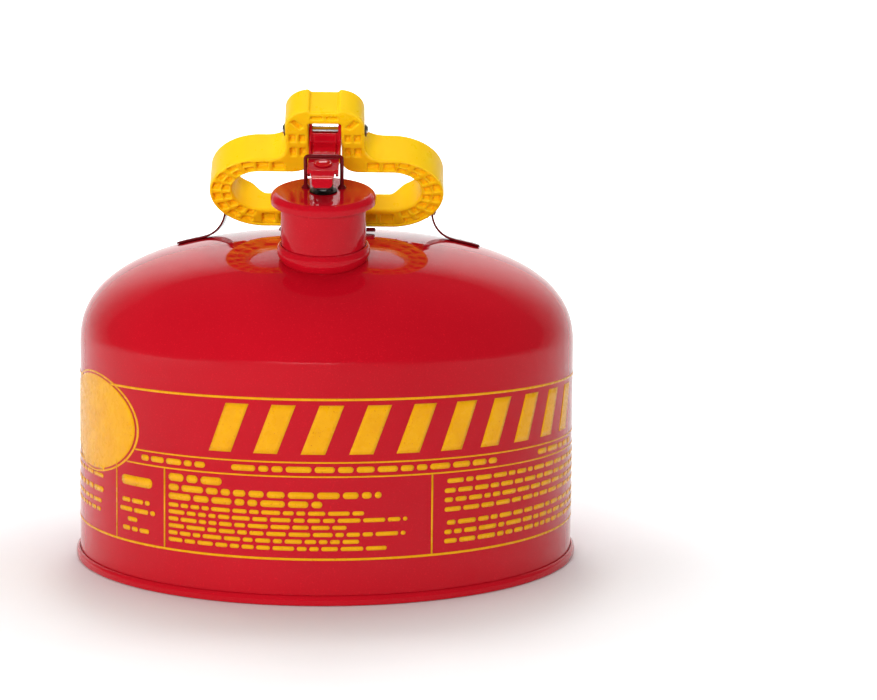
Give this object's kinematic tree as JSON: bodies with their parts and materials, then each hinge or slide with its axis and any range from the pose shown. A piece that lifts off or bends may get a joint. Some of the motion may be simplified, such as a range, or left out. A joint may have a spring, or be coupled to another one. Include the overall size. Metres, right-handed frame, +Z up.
{
  "type": "safety gas can",
  "caption": "Round steel fuel can with a domed top, leaning neck with flame arrester, spring-closed relief lid and a swinging moulded handle.",
  "frame": {"origin": "centre of the bottom, on the surface that the can stands on", "axes": "+X to the right seen from the neck side, -Y towards the neck, +Z up"},
  "size_m": [0.2858, 0.2858, 0.2611],
  "materials": {
    "red_paint": "high gloss baked enamel",
    "dark_red_paint": "gloss enamel, darker where it is shaded",
    "yellow_plastic": "moulded, semi gloss",
    "plated_steel": "zinc plated",
    "spring_steel": "dark drawn wire",
    "dark_screen": "woven stainless gauze",
    "black_rubber": "matt",
    "yellow_ink": "screen-printed ink"
  },
  "bodies": {
    "can": {"body_shell": "red_paint", "base_pan": "red_paint", "chime_ring": "red_paint", "neck_tube": "red_paint", "neck_collar": "red_paint", "arrester_tube": "plated_steel", "arrester_screen": "dark_screen", "arrester_ring": "plated_steel", "arrester_cap": "plated_steel", "support_leg_left": "dark_red_paint", "support_leg_right": "dark_red_paint", "handle_stop": "dark_red_paint", "pivot_pins": "plated_steel", "pivot_washers": "plated_steel", "pivot_clips": "plated_steel"},
    "handle": {"handle_grip": "yellow_plastic", "handle_springs": "spring_steel", "arm_pin": "plated_steel", "arm_pin_clips": "plated_steel"},
    "arm": {"lid_arm": "red_paint"},
    "lid": {"lid_cap": "red_paint", "lid_gasket": "black_rubber", "gasket_plate": "plated_steel", "lid_stud": "red_paint", "relief_spring": "spring_steel", "spring_seat": "plated_steel", "bail_wire": "spring_steel", "bail_sockets": "red_paint"}
  },
  "joints": [
    {"name": "handle_swing", "type": "hinge", "parent": "can", "child": "handle", "pos_m": [0, -0.006, 0.197], "axis": [-1, 0, 0], "range_deg": [0, 60], "stiffness_Nm_per_rad": 0.25, "springref_deg": -40.11},
    {"name": "arm_pivot", "type": "hinge", "parent": "handle", "child": "arm", "pos_m": [0, -0.0756, 0.23962], "axis": [1, 0, 0], "range_deg": [0, 15]},
    {"name": "lid_relief", "type": "slide", "parent": "arm", "child": "lid", "axis": [0, -0.2756, 0.9613], "range_m": [0, 0.0025], "stiffness_N_per_m": 3000, "springref_m": -0.006, "deforming": ["relief_spring"]}
  ],
  "couplings": [
    {"joint": "arm_pivot", "follows": "handle_swing", "ratio": 0.25}
  ]
}
